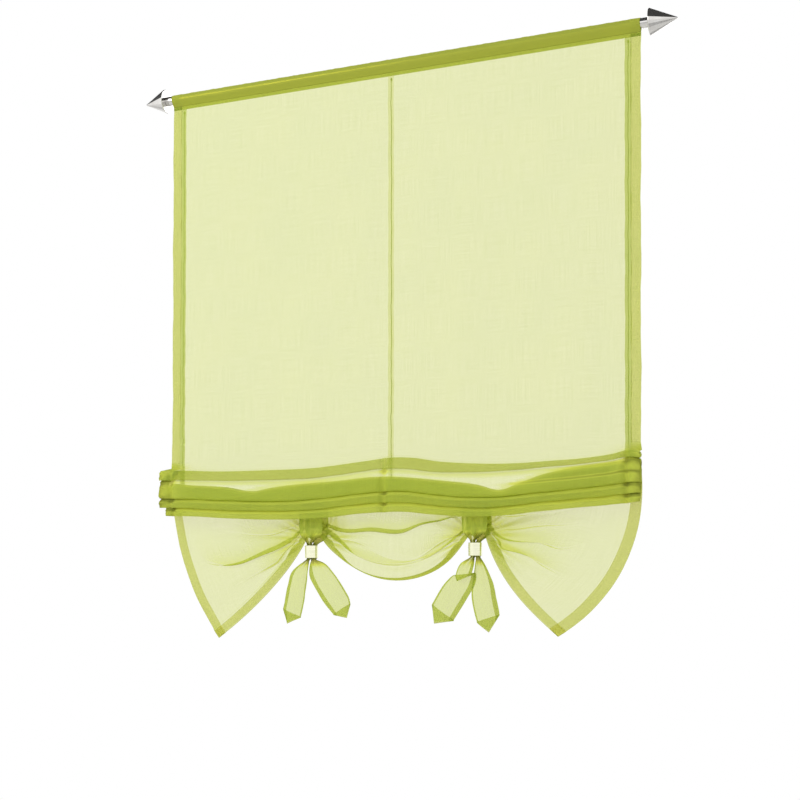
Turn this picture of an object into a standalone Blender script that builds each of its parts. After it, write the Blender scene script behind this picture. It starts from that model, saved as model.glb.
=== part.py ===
"""Tie-up Roman curtain of sheer voile on a cafe rod.

The curtain hangs by its rod pocket. Three draw tapes on its back pull the lower part up into a
stack of four nested folds, and two pairs of ribbons gather the hem below the stack, so that it
falls in a middle swag and two pointed corners. Metres, +Z up, the rod's axis along X, its middle
at the origin, and the room at -Y.
"""

import math

import bmesh
import bpy
from mathutils import Vector

# Clearance between pieces that touch
GAP = 0.0003

# Rod and finials
ROD_DIAMETER = 0.019
ROD_WALL = 0.001
ROD_SHOWING = 0.016
FINIAL_DIAMETER = 0.050
FINIAL_LENGTH = 0.052
FINIAL_RIM = 0.0015
FINIAL_TIP_RADIUS = 0.0012
PLUG_LENGTH = 0.018
PLUG_CHAMFER = 0.0008

# Curtain cloth, measured as it is sewn
CURTAIN_WIDTH = 1.000
CLOTH = 0.0006
HEM_WIDTH = 0.020
HEM_EXTRA = 0.0004
HEM_STEP = 0.0015
LOWER_HEM_STEP = 0.005
POCKET_SEAM_DROP = 0.016
POCKET_EDGE = 0.004

# Stack of folds. Its top is a depth below the rod's axis, and the folds' bottoms and roots are
# drops below that top
STACK_TOP = 0.792
FOLD_BOTTOMS = (0.021, 0.065, 0.086, 0.104)
FOLD_ROOTS = (0.0, 0.041, 0.046, 0.051)
FOLD_DEPTH = 0.042
FOLD_START = 0.012
FOLD_SHOULDER = 0.004
FOLD_ROUNDING = 0.9
ROOT_BEND = 0.003
SAG_BETWEEN_TAPES = 0.011
SAG_FULLNESS = 0.8
SAG_REACH = 0.25
LEFT_DRAW_IN = 0.023
RIGHT_DRAW_IN = 0.011

# Gathered hem below the stack, as (x, drop below the stack's top): the corner tips, and the two
# points that pull each side edge and each arc of the hem into its curve
LEFT_SIDE = ((-0.462, 0.189), (-0.420, 0.273))
RIGHT_SIDE = ((0.486, 0.197), (0.418, 0.293))
LEFT_TIP = (-0.370, 0.349)
RIGHT_TIP = (0.334, 0.344)
LEFT_HEM = ((-0.355, 0.393), (-0.197, 0.192))
RIGHT_HEM = ((0.279, 0.296), (0.220, 0.244))
SWAG_HEM = ((-0.072, 0.274), (0.078, 0.287))
LEFT_TIE_X = -0.163
RIGHT_TIE_X = 0.178
TIE_DROP = 0.152
GATHER_WIDTH = 0.030
LEFT_TIE_SHARE = 0.315
RIGHT_TIE_SHARE = 0.72
GATHER_SHARE = 0.04
GATHER_FOLDS = 3
GATHER_REACH = 0.10
GATHER_ONSET = 6
GATHER_SWELL = 0.008
SWAG_SWELL = 0.004
SMOOTH_SHARE = 0.27
HEM_LEAN = 0.006

# Draw tapes and their cords
TAPE_WIDTH = 0.012
TAPE_INSET = 0.002
TAPE_THICKNESS = 0.0007
CORD_DIAMETER = 0.0014
CORD_KNOT = 0.0040
KNOT_SHAPE = ((1.0, 0.45), (0.5, 0.9), (0.0, 1.0))
KNOT_NECK = 0.8

# Ribbons and the rings that hold them
RIBBON_WIDTH = 0.050
RIBBON = 0.0005
RIBBON_BELOW_ROOT = 0.010
RIBBON_SEWN = 0.008
RIBBON_PROUD = 0.006
RIBBON_FORWARD = 0.005
RIBBON_TURN_OUT = 0.010
RIBBON_HANG = 0.025
RIBBON_SQUEEZE = 0.40
RIBBON_PLEAT = 0.35
RIBBON_RING_CLEAR = 0.002
RIBBON_TIP = 0.018
RIBBON_TIP_LEAN = 0.4
RIBBON_HEM = 0.012
RIBBON_HEM_EXTRA = 0.0004
RIBBON_PLEATS = 3
RING_DIAMETER = 0.026
RING_WALL = 0.0012
RING_HEIGHT = 0.025
RING_BELOW_HEM = 0.016
RING_FORWARD = 0.014
RING_SOFTNESS = 0.35

# Each ribbon's tail: its end as (x from the tie, drop below the ring), and its turn in radians
LEFT_TIE_TAILS = (((-0.038, 0.109), -0.15), ((0.071, 0.103), 0.45))
RIGHT_TIE_TAILS = (((-0.057, 0.107), -0.45), ((0.032, 0.119), 0.20))
TAIL_FORWARD = 0.004
TAIL_BOW = 0.010
TAIL_OPENING = ((0.18, 0.45, 0.6), (0.42, 0.85, 0.2), (0.70, 1.0, 0.05))

# Fineness of the shapes
ROUND_SIDES = 24
POCKET_SIDES = 10
CORD_SIDES = 6
CORD_STATIONS = 6
TAPE_STATIONS = 6
FLAT_ROWS = 3
GATHER_ROWS = 11
FLAP_COLUMNS = 5
TIE_COLUMNS = 2
SWAG_COLUMNS = 9

ROD_RADIUS = ROD_DIAMETER / 2
HALF_WIDTH = CURTAIN_WIDTH / 2
STACK_FOOT = STACK_TOP + FOLD_ROOTS[-1] + ROOT_BEND
TIE_DEPTH = STACK_TOP + TIE_DROP
RING_TOP = TIE_DEPTH + RING_BELOW_HEM
RING_BOTTOM = RING_TOP + RING_HEIGHT
HEM_SHARE = HEM_WIDTH / (STACK_TOP + LEFT_TIP[1] - STACK_FOOT)


def finish(name, mesh, material, smooth=True):
    """Cleans a mesh, turns its faces outward and places it in the scene as one object."""
    mesh.normal_update()
    bmesh.ops.recalc_face_normals(mesh, faces=mesh.faces)
    if mesh.calc_volume(signed=True) < 0:
        bmesh.ops.reverse_faces(mesh, faces=mesh.faces)
    data = bpy.data.meshes.new(name)
    mesh.to_mesh(data)
    mesh.free()
    data.materials.append(material)
    if smooth:
        data.shade_smooth()
        data.set_sharp_from_angle(angle=math.radians(40))
    made = bpy.data.objects.new(name, data)
    bpy.context.collection.objects.link(made)
    return made


def plain_material(name, colour, roughness, metallic=0.0):
    """A plain Principled material."""
    made = bpy.data.materials.new(name)
    made.use_nodes = True
    shader = made.node_tree.nodes["Principled BSDF"]
    shader.inputs["Base Color"].default_value = (*colour, 1.0)
    shader.inputs["Roughness"].default_value = roughness
    shader.inputs["Metallic"].default_value = metallic
    return made


def grid_faces(mesh, rows):
    """Quads between neighbouring points of a grid of vertices."""
    for upper, lower in zip(rows, rows[1:]):
        for k in range(len(upper) - 1):
            mesh.faces.new((upper[k], lower[k], lower[k + 1], upper[k + 1]))


def turned(name, profile, centre, axis, material, closed=False):
    """Turns a profile of (distance along the axis, radius) points about an axis."""
    mesh = bmesh.new()
    across = Vector((0, 1, 0)) if axis.x else Vector((1, 0, 0))
    other = axis.cross(across)
    rings = []
    for along, radius in profile:
        if radius == 0:
            rings.append([mesh.verts.new(centre + axis * along)])
            continue
        ring = []
        for k in range(ROUND_SIDES):
            turn = 2 * math.pi * k / ROUND_SIDES
            spoke = across * math.cos(turn) + other * math.sin(turn)
            ring.append(mesh.verts.new(centre + axis * along + spoke * radius))
        rings.append(ring)
    pairs = list(zip(rings, rings[1:]))
    if closed:
        pairs.append((rings[-1], rings[0]))
    for first, second in pairs:
        for k in range(ROUND_SIDES):
            after = (k + 1) % ROUND_SIDES
            if len(first) == 1:
                mesh.faces.new((first[0], second[k], second[after]))
            elif len(second) == 1:
                mesh.faces.new((first[k], second[0], first[after]))
            else:
                mesh.faces.new((first[k], second[k], second[after], first[after]))
    return finish(name, mesh, material)


def mix(a, b, share):
    return a + (b - a) * share


def bezier(points, share):
    """A point of the cubic curve through the first and last of four points."""
    rest = 1 - share
    weights = (rest**3, 3 * share * rest**2, 3 * share**2 * rest, share**3)
    return Vector([sum(w * p[k] for w, p in zip(weights, points)) for k in range(len(points[0]))])


def spread(first, last, count):
    """Evenly spaced values, the last one left out."""
    return [mix(first, last, k / count) for k in range(count)]


# Rod and finials


def rod(material):
    """Steel tube, open at both ends, in which the finials' plugs sit."""
    half = HALF_WIDTH + ROD_SHOWING
    inner = ROD_RADIUS - ROD_WALL
    profile = [(-half, ROD_RADIUS), (half, ROD_RADIUS), (half, inner), (-half, inner)]
    return turned("rod", profile, Vector(), Vector((1, 0, 0)), material, closed=True)


def finial(name, side, material):
    """Turned cone with a flat back, and a plug that is pushed into the rod's end."""
    radius = FINIAL_DIAMETER / 2
    plug = ROD_RADIUS - ROD_WALL - GAP
    profile = [(-PLUG_LENGTH, 0), (-PLUG_LENGTH, plug - PLUG_CHAMFER)]
    profile += [(-PLUG_LENGTH + PLUG_CHAMFER, plug)]
    profile += [(GAP, plug), (GAP, radius - FINIAL_RIM)]
    for k in range(1, 5):
        turn = math.pi / 2 * k / 4
        profile.append(
            (
                GAP + FINIAL_RIM * (1 - math.cos(turn)),
                radius - FINIAL_RIM * (1 - math.sin(turn)),
            )
        )
    slope = math.atan2(radius, FINIAL_LENGTH)
    for k in range(4):
        turn = mix(slope, math.pi / 2, k / 4)
        reach = FINIAL_LENGTH - FINIAL_TIP_RADIUS * (1 - math.sin(turn))
        profile.append((GAP + reach, FINIAL_TIP_RADIUS * math.cos(turn)))
    profile.append((GAP + FINIAL_LENGTH, 0))
    seat = Vector((side * (HALF_WIDTH + ROD_SHOWING), 0, 0))
    return turned(name, profile, seat, Vector((side, 0, 0)), material)


# Curtain panel


def column_shares():
    """Shares of the cloth's width at which its columns lie, close together at the hems and ties."""
    hem = HEM_WIDTH / CURTAIN_WIDTH
    step = HEM_STEP / CURTAIN_WIDTH
    ties = []
    for share in (LEFT_TIE_SHARE, RIGHT_TIE_SHARE):
        ties.append((share - GATHER_SHARE / 2, share + GATHER_SHARE / 2))
    shares = [0, hem]
    shares += spread(hem + step, ties[0][0], FLAP_COLUMNS)
    shares += spread(*ties[0], TIE_COLUMNS)
    shares += spread(ties[0][1], ties[1][0], SWAG_COLUMNS)
    shares += spread(*ties[1], TIE_COLUMNS)
    shares += spread(ties[1][1], 1 - hem - step, FLAP_COLUMNS)
    return shares + [1 - hem - step, 1 - hem, 1]


def drawn_in(share, held):
    """Where a column lies along the rod, as the tapes draw the cloth in. held is 0 to 1."""
    flat = mix(-HALF_WIDTH, HALF_WIDTH, share)
    side = LEFT_DRAW_IN if flat < 0 else RIGHT_DRAW_IN
    return flat * (1 - side / HALF_WIDTH * held)


def tape_places():
    """Where the three tapes' middles lie on the flat cloth, from its middle."""
    edge = HALF_WIDTH - HEM_WIDTH - HEM_STEP - TAPE_INSET - TAPE_WIDTH / 2
    return (-edge, 0.0, edge)


def sag(share):
    """How far the stack hangs down between two tapes, nothing on a tape."""
    flat = mix(-HALF_WIDTH, HALF_WIDTH, share)
    edge = tape_places()[2]
    between = abs(math.sin(math.pi * flat / edge)) if abs(flat) < edge else 0.0
    return SAG_BETWEEN_TAPES * between**SAG_FULLNESS


def stack_profile():
    """Points (y, depth) of the folds, down the cloth from the panel to the last root."""
    points = []
    root_y = -ROOT_BEND / 2
    start, shoulder = STACK_TOP - FOLD_START, STACK_TOP
    for drop, root_drop in zip(FOLD_BOTTOMS, FOLD_ROOTS):
        bottom, root = STACK_TOP + drop, STACK_TOP + root_drop
        points.append((-FOLD_DEPTH / 2, (start + shoulder) / 2))
        points.append((-FOLD_DEPTH * FOLD_ROUNDING, shoulder))
        points.append((-FOLD_DEPTH, (shoulder + bottom) / 2))
        points.append((-FOLD_DEPTH * FOLD_ROUNDING, bottom))
        points.append((-FOLD_DEPTH / 2, (bottom + root) / 2))
        points.append((root_y, root))
        points.append((0.0, root + ROOT_BEND / 2))
        points.append((root_y, root + ROOT_BEND))
        start, shoulder = root + ROOT_BEND, bottom + FOLD_SHOULDER
    return points


def below_stack(point):
    """A point given as (x, drop below the stack's top), as (x, z)."""
    return point[0], -STACK_TOP - point[1]


def tie_sides(tie_x):
    return tie_x - GATHER_WIDTH / 2, tie_x + GATHER_WIDTH / 2


def hem_point(share):
    """The hem's lower edge: two corner flaps, the swag between the ties, and the two gathers."""
    half = GATHER_SHARE / 2
    left_in, left_out = LEFT_TIE_SHARE - half, LEFT_TIE_SHARE + half
    right_in, right_out = RIGHT_TIE_SHARE - half, RIGHT_TIE_SHARE + half
    left_a, left_b = tie_sides(LEFT_TIE_X)
    right_a, right_b = tie_sides(RIGHT_TIE_X)
    tie_z = -TIE_DEPTH
    if share <= left_in:
        arc = [below_stack(p) for p in (LEFT_TIP, *LEFT_HEM)]
        return bezier((*arc, (left_a, tie_z)), share / left_in)
    if share <= left_out:
        return Vector((mix(left_a, left_b, (share - left_in) / GATHER_SHARE), tie_z))
    if share <= right_in:
        along = (share - left_out) / (right_in - left_out)
        arc = [below_stack(p) for p in SWAG_HEM]
        return bezier(((left_b, tie_z), *arc, (right_a, tie_z)), along)
    if share <= right_out:
        return Vector((mix(right_a, right_b, (share - right_in) / GATHER_SHARE), tie_z))
    arc = [below_stack(p) for p in (*RIGHT_HEM[::-1], RIGHT_TIP)]
    return bezier(((right_b, tie_z), *arc), (share - right_out) / (1 - right_out))


def nearness(share):
    """1 at a tie, falling away from it along the hem."""
    nearest = min(abs(share - LEFT_TIE_SHARE), abs(share - RIGHT_TIE_SHARE))
    return math.exp(-((nearest / GATHER_REACH) ** 2))


def valance_point(share, down):
    """A point of the gathered cloth below the stack, down from 0 at the last root to 1 at the hem."""
    top = Vector((drawn_in(share, 1), -STACK_FOOT - sag(share)))
    place = mix(top, hem_point(share), down)
    sides = (
        (0, LEFT_SIDE, LEFT_TIP, 1 - share / (LEFT_TIE_SHARE - GATHER_SHARE / 2)),
        (1, RIGHT_SIDE, RIGHT_TIP, 1 - (1 - share) / (1 - RIGHT_TIE_SHARE - GATHER_SHARE / 2)),
    )
    for side, pulls, tip, reach in sides:
        corner = Vector((drawn_in(side, 1), -STACK_FOOT))
        edge = (corner, *[Vector(below_stack(p)) for p in (*pulls, tip)])
        bow = bezier(edge, down) - mix(corner, edge[-1], down)
        place += bow * max(0.0, reach)
    folded = max(0.0, (down - SMOOTH_SHARE) / (1 - SMOOTH_SHARE))
    swell = mix(SWAG_SWELL, GATHER_SWELL, nearness(share)) * min(1.0, folded * GATHER_ONSET)
    wave = math.sin(2 * math.pi * GATHER_FOLDS * folded)
    lean = -ROOT_BEND / 2 - HEM_LEAN * folded
    return Vector((place.x, lean + swell * wave, place.y))


def panel_grid(shares):
    """The middle surface from the pocket's seam to the hem, as rows of points."""
    rows = []
    seam, edge = POCKET_SEAM_DROP, POCKET_SEAM_DROP + POCKET_EDGE
    last = STACK_TOP - FOLD_START
    flat = [mix(edge, last, k / FLAT_ROWS) for k in range(1, FLAT_ROWS + 1)]
    for depth in (seam, edge, edge + HEM_STEP, *flat):
        held = depth / STACK_TOP
        sagging = max(0.0, 1 - (1 - held) / SAG_REACH)
        rows.append([Vector((drawn_in(s, held), 0.0, -depth - sag(s) * sagging)) for s in shares])
    for y, depth in stack_profile():
        held = 1 + y / FOLD_DEPTH
        rows.append([Vector((drawn_in(s, held), y, -depth - sag(s))) for s in shares])
    hem_start = 1 - HEM_SHARE
    hem_edge = hem_start + HEM_SHARE * LOWER_HEM_STEP / HEM_WIDTH
    gathers = spread(SMOOTH_SHARE, hem_start, GATHER_ROWS)
    downs = [SMOOTH_SHARE / 2, *gathers, hem_start, hem_edge, 1.0]
    for down in downs:
        rows.append([valance_point(s, down) for s in shares])
    return rows, len(rows) - 2


def bisector(before, point, after):
    """The direction of a line at one of its points, halfway between its two segments."""
    return (point - before).normalized() + (after - point).normalized()


def surface_normals(rows):
    """Unit normals of a grid, toward the room where the cloth hangs flat."""
    normals = []
    for r, row in enumerate(rows):
        up, low = rows[max(r - 1, 0)], rows[min(r + 1, len(rows) - 1)]
        line = []
        for c, point in enumerate(row):
            down = bisector(up[c], point, low[c])
            across = bisector(row[max(c - 1, 0)], point, row[min(c + 1, len(row) - 1)])
            line.append(down.cross(across).normalized())
        normals.append(line)
    return normals


def pocket_ring(x, radius):
    """The pocket's loop over the rod, from its front tangent over the top to the back one."""
    middle = ROD_RADIUS + GAP + CLOTH / 2
    tangent = math.asin(middle / POCKET_SEAM_DROP)
    points = []
    for k in range(POCKET_SIDES + 1):
        turn = mix(-tangent, math.pi + tangent, k / POCKET_SIDES)
        points.append(Vector((x, -radius * math.cos(turn), radius * math.sin(turn))))
    return points


def curtain_panel(material):
    """One sheet: pocket, flat panel, four folds and gathered hem, with its sewn hems thicker."""
    shares = column_shares()
    rows, hem_row = panel_grid(shares)
    normals = surface_normals(rows)
    side_hem = (HEM_WIDTH + HEM_STEP / 2) / CURTAIN_WIDTH
    front, back = [], []
    mesh = bmesh.new()
    for r, (row, line) in enumerate(zip(rows, normals)):
        front_row, back_row = [], []
        for share, point, normal in zip(shares, row, line):
            hemmed = share < side_hem or share > 1 - side_hem or r >= hem_row or r in (0, 1)
            behind = CLOTH / 2 + (HEM_EXTRA if hemmed else 0.0)
            front_row.append(mesh.verts.new(point + normal * CLOTH / 2))
            back_row.append(mesh.verts.new(point - normal * behind))
        front.append(front_row)
        back.append(back_row)
    inner_radius = ROD_RADIUS + GAP
    outer, inner = [], []
    for share in shares:
        x = drawn_in(share, 0)
        ring = pocket_ring(x, inner_radius + CLOTH)
        outer.append([mesh.verts.new(p) for p in ring])
        foot = Vector((x, 0.0, -POCKET_SEAM_DROP + 2 * CLOTH))
        ring = [foot] + pocket_ring(x, inner_radius)
        inner.append([mesh.verts.new(p) for p in ring])
    grid_faces(mesh, front)
    grid_faces(mesh, back)
    grid_faces(mesh, [front[-1], back[-1]])
    seam = [[front[0][c]] + outer[c] + [back[0][c]] for c in range(len(shares))]
    grid_faces(mesh, seam)
    grid_faces(mesh, [ring + [ring[0]] for ring in inner])
    for c in (0, len(shares) - 1):
        grid_faces(mesh, [[row[c] for row in front], [row[c] for row in back]])
        grid_faces(mesh, [outer[c], inner[c][1:]])
        foot = inner[c][0]
        mesh.faces.new((front[0][c], outer[c][0], inner[c][1], foot))
        mesh.faces.new((back[0][c], outer[c][-1], inner[c][-1], foot))
        mesh.faces.new((front[0][c], back[0][c], foot))
    return finish("curtain_panel", mesh, material)


# Draw tapes and cords


def tape_depths():
    top = POCKET_SEAM_DROP + POCKET_EDGE + HEM_STEP + GAP
    return [mix(top, STACK_FOOT, k / TAPE_STATIONS) for k in range(TAPE_STATIONS + 1)]


def tape_x(flat, depth):
    return drawn_in(flat / CURTAIN_WIDTH + 0.5, min(depth / STACK_TOP, 1.0))


def draw_tape(name, flat, material):
    """Woven tape on the panel's back, from under the pocket down past the folds' roots."""
    mesh = bmesh.new()
    near = CLOTH / 2 + GAP
    rows = []
    for depth in tape_depths():
        middle = tape_x(flat, depth)
        ring = []
        for x, y in ((-1, near), (1, near), (1, near + TAPE_THICKNESS), (-1, near + TAPE_THICKNESS)):
            ring.append(mesh.verts.new((middle + x * TAPE_WIDTH / 2, y, -depth)))
        rows.append(ring)
    grid_faces(mesh, [ring + [ring[0]] for ring in rows])
    mesh.faces.new(rows[0])
    mesh.faces.new(rows[-1])
    return finish(name, mesh, material, smooth=False)


def draw_cord(name, flat, material):
    """Thin cord down the tape's back, knotted at both ends so that it holds the folds up."""
    mesh = bmesh.new()
    depths = tape_depths()
    thin, knot = CORD_DIAMETER / 2, CORD_KNOT / 2
    y = CLOTH / 2 + GAP + TAPE_THICKNESS + GAP + thin
    first, last = depths[0] + knot * 2, depths[-1] - knot * 2
    stations = [(first - knot * out, knot * wide) for out, wide in KNOT_SHAPE]
    stations.append((first + knot * KNOT_NECK, thin))
    stations += [(mix(first, last, k / CORD_STATIONS), thin) for k in range(1, CORD_STATIONS)]
    stations.append((last - knot * KNOT_NECK, thin))
    stations += [(last + knot * out, knot * wide) for out, wide in KNOT_SHAPE[::-1]]
    rows = []
    for depth, radius in stations:
        middle = tape_x(flat, depth)
        back = y + radius - thin
        ring = []
        for k in range(CORD_SIDES):
            turn = 2 * math.pi * (k + 0.5) / CORD_SIDES
            place = (middle + radius * math.cos(turn), back + radius * math.sin(turn), -depth)
            ring.append(mesh.verts.new(place))
        rows.append(ring)
    grid_faces(mesh, [ring + [ring[0]] for ring in rows])
    mesh.faces.new(rows[0])
    mesh.faces.new(rows[-1])
    return finish(name, mesh, material)


# Ribbons and rings


def ribbon(name, stations, tip_lean, material):
    """A sewn voile ribbon. Each station is its middle, half width, turn and pleat depth."""
    mesh = bmesh.new()
    count = 2 * RIBBON_PLEATS
    front, back = [], []
    last = len(stations) - 1
    for r, (middle, half, turn, pleat) in enumerate(stations):
        before = stations[max(r - 1, 0)][0]
        after = stations[min(r + 1, last)][0]
        down = (after - before).normalized()
        across = Vector((math.cos(turn), 0, math.sin(turn)))
        across = (across - down * across.dot(down)).normalized()
        out = down.cross(across).normalized()
        hemmed = RIBBON_HEM_EXTRA if r >= last - 1 else 0.0
        front_row, back_row = [], []
        for k in range(count + 1):
            share = 2 * k / count - 1
            point = middle + across * half * share + out * pleat * math.cos(math.pi * k)
            if r >= last - 2:
                point += down * RIBBON_TIP * (1 - abs(share - tip_lean) / (1 + abs(tip_lean)))
            front_row.append(mesh.verts.new(point + out * RIBBON / 2))
            back_row.append(mesh.verts.new(point - out * (RIBBON / 2 + hemmed)))
        front.append(front_row)
        back.append(back_row)
    grid_faces(mesh, front)
    grid_faces(mesh, back)
    grid_faces(mesh, [front[0], back[0]])
    grid_faces(mesh, [front[-1], back[-1]])
    for c in (0, count):
        grid_faces(mesh, [[row[c] for row in front], [row[c] for row in back]])
    return finish(name, mesh, material, smooth=False)


def ribbon_stations(tie_x, face, tail_end, tail_turn):
    """The ribbon's way: sewn under the stack, down past the gathers, through the ring, and out.

    face is -1 for the ribbon in front of the cloth and 1 for the one behind it.
    """
    half = RIBBON_WIDTH / 2
    top = -STACK_FOOT - sag(tie_x / CURTAIN_WIDTH + 0.5) - RIBBON_BELOW_ROOT
    sewn = top - RIBBON_SEWN
    inside = RING_DIAMETER / 2 - RING_WALL
    squeezed, pleat = inside * RIBBON_SQUEEZE, inside * RIBBON_PLEAT
    sewn_y = -ROOT_BEND / 2 + face * (CLOTH / 2 + GAP + RIBBON / 2)
    proud = face * (GATHER_SWELL + RIBBON_PROUD) - RIBBON_FORWARD
    ring_y = -RING_FORWARD
    ring_x = tie_x + face * (squeezed + GAP)
    gathered = RING_BELOW_HEM / 2
    drawn = mix(squeezed, half, 0.4)
    # x, y, z, half width and pleat depth
    way = (
        (tie_x, sewn_y, top, half, 0.0),
        (tie_x, sewn_y, sewn, half, 0.0),
        (tie_x, mix(sewn_y, proud, 0.7), sewn - RIBBON_TURN_OUT, half, 0.0),
        (tie_x, proud, sewn - RIBBON_HANG, half, pleat * 0.1),
        (tie_x, proud, -TIE_DEPTH + gathered, half * 0.95, pleat * 0.25),
        (mix(tie_x, ring_x, 0.5), proud, -TIE_DEPTH - gathered * 0.4, drawn, pleat * 0.4),
        (ring_x, mix(proud, ring_y, 0.6), -RING_TOP + gathered * 0.6, squeezed, pleat * 0.8),
        (ring_x, ring_y, -RING_TOP - RIBBON_RING_CLEAR, squeezed, pleat),
        (ring_x, ring_y, -RING_BOTTOM - RIBBON_RING_CLEAR, squeezed, pleat),
    )
    stations = [(Vector((x, y, z)), wide, 0.0, deep) for x, y, z, wide, deep in way]
    knot = stations[-1][0]
    end = Vector((tie_x + tail_end[0], ring_y - TAIL_FORWARD, -RING_BOTTOM - tail_end[1]))
    for share, wide, deep in TAIL_OPENING:
        place = knot.lerp(end, share)
        place.y -= TAIL_BOW * math.sin(math.pi * share)
        stations.append((place, half * wide, tail_turn * share, pleat * deep))
    length = (end - knot).length
    for short in (RIBBON_HEM + HEM_STEP, RIBBON_HEM, 0.0):
        stations.append((knot.lerp(end, 1 - short / length), half, tail_turn, 0.0))
    return stations


def ring(name, tie_x, material):
    """Short metal sleeve that holds the two ribbons together under the gathered hem."""
    outer = RING_DIAMETER / 2
    inner = outer - RING_WALL
    soft = RING_WALL * RING_SOFTNESS
    profile = [(0, inner + soft), (0, outer - soft), (soft, outer)]
    profile += [(RING_HEIGHT - soft, outer), (RING_HEIGHT, outer - soft)]
    profile += [(RING_HEIGHT, inner + soft), (RING_HEIGHT - soft, inner), (soft, inner)]
    foot = Vector((tie_x, -RING_FORWARD, -RING_BOTTOM))
    return turned(name, profile, foot, Vector((0, 0, 1)), material, closed=True)


def build():
    for old in list(bpy.data.objects):
        bpy.data.objects.remove(old, do_unlink=True)
    nickel = plain_material("brushed_nickel", (0.60, 0.59, 0.57), 0.32, 1.0)
    bright = plain_material("bright_ring", (0.80, 0.79, 0.76), 0.22, 1.0)
    voile = plain_material("lime_voile", (0.48, 0.60, 0.10), 0.75)
    tape = plain_material("lime_tape", (0.42, 0.53, 0.09), 0.8)
    cord = plain_material("lime_cord", (0.36, 0.47, 0.07), 0.7)
    rod(nickel)
    finial("finial_left", -1, nickel)
    finial("finial_right", 1, nickel)
    curtain_panel(voile)
    for place, flat in zip(("left", "centre", "right"), tape_places()):
        draw_tape(f"{place}_draw_tape", flat, tape)
        draw_cord(f"{place}_draw_cord", flat, cord)
    ties = (("left", LEFT_TIE_X, LEFT_TIE_TAILS), ("right", RIGHT_TIE_X, RIGHT_TIE_TAILS))
    for place, tie_x, tails in ties:
        for layer, face, (tail_end, tail_turn) in zip(("front", "back"), (-1, 1), tails):
            stations = ribbon_stations(tie_x, face, tail_end, tail_turn)
            ribbon(f"ribbon_{place}_{layer}", stations, face * RIBBON_TIP_LEAN, voile)
        ring(f"ring_{place}", tie_x, bright)


build()
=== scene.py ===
import math

import bpy
import numpy as np
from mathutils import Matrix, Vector


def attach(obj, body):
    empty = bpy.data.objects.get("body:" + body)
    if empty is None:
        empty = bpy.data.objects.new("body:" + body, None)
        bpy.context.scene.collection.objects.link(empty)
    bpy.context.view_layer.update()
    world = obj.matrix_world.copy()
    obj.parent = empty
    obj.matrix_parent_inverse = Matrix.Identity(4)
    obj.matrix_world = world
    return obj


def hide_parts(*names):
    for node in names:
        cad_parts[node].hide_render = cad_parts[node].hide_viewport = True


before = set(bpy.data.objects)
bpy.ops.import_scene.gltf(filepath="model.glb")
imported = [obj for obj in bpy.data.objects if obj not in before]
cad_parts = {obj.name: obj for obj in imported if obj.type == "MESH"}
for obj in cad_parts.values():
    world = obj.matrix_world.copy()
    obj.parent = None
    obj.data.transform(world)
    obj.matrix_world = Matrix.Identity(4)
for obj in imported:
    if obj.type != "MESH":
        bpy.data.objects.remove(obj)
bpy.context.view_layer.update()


def placed(name, data):
    """A new object in the scene."""
    made = bpy.data.objects.new(name, data)
    bpy.context.scene.collection.objects.link(made)
    return made


# Camera. It stands to the right of the curtain and below its middle, and its view is shifted up,
# so that the upright edges stay nearly upright. The folds are many sheer layers deep, and light
# has to get through all of them.
CAMERA_AT = (0.9194, -2.3010, -1.0735)
CAMERA_TURN = math.radians(21.35)
CAMERA_RISE = math.radians(3.73)
CAMERA_LENS = 57.21
CAMERA_SHIFT = 0.15
LAYERS_SEEN_THROUGH = 48

camera = placed("camera", bpy.data.cameras.new("camera"))
camera.location = CAMERA_AT
camera.rotation_euler = (math.pi / 2 + CAMERA_RISE, 0, CAMERA_TURN)
camera.data.lens = CAMERA_LENS
camera.data.shift_y = CAMERA_SHIFT
bpy.context.scene.camera = camera
bpy.context.scene.cycles.transparent_max_bounces = LAYERS_SEEN_THROUGH
bpy.context.scene.view_settings.view_transform = "Standard"


# Rod and finials. A drawn steel tube plated with nickel, and two cones turned from bar and plated
# alike, each pushed into the tube's end by its plug. The tube's grain runs along it, and the
# cones keep fine rings from the lathe.
NICKEL = (0.78, 0.77, 0.75)
NICKEL_SHADE = (0.62, 0.60, 0.57)
ROD_GRAIN = (6.0, 900.0, 900.0)
LATHE_GRAIN = (2600.0, 14.0, 14.0)
ROD_POLISH = 0.17
TURNED_POLISH = 0.13
METAL_LIFT = 0.15
CLOUD_SCALE = 45.0
FINE_SHARE = 0.6
RELIEF_DEPTH = 0.0002


def effect(name, inputs, outputs):
    """An empty shader group with its sockets, and the nodes that stand for them."""
    tree = bpy.data.node_groups.new(name, "ShaderNodeTree")
    for label, kind in inputs:
        tree.interface.new_socket(label, in_out="INPUT", socket_type=f"NodeSocket{kind}")
    for label, kind in outputs:
        tree.interface.new_socket(label, in_out="OUTPUT", socket_type=f"NodeSocket{kind}")
    return tree, tree.nodes.new("NodeGroupInput"), tree.nodes.new("NodeGroupOutput")


def node(tree, kind, settings=None, **inputs):
    """A shader node with its settings, and its inputs set or wired by name."""
    made = tree.nodes.new(kind)
    for key, value in (settings or {}).items():
        setattr(made, key, value)
    for key, value in inputs.items():
        which = int(key[1:]) if key[1:].isdigit() else key.replace("_", " ")
        socket = made.inputs[which]
        if isinstance(value, bpy.types.NodeSocket):
            tree.links.new(value, socket)
        else:
            socket.default_value = value
    return made


def reckoned(tree, kind, a, b=0.0):
    """The output of a math node on its values."""
    return node(tree, "ShaderNodeMath", {"operation": kind}, i0=a, i1=b).outputs[0]


def plus(tree, a, b):
    return reckoned(tree, "ADD", a, b)


def times(tree, a, b):
    return reckoned(tree, "MULTIPLY", a, b)


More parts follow.
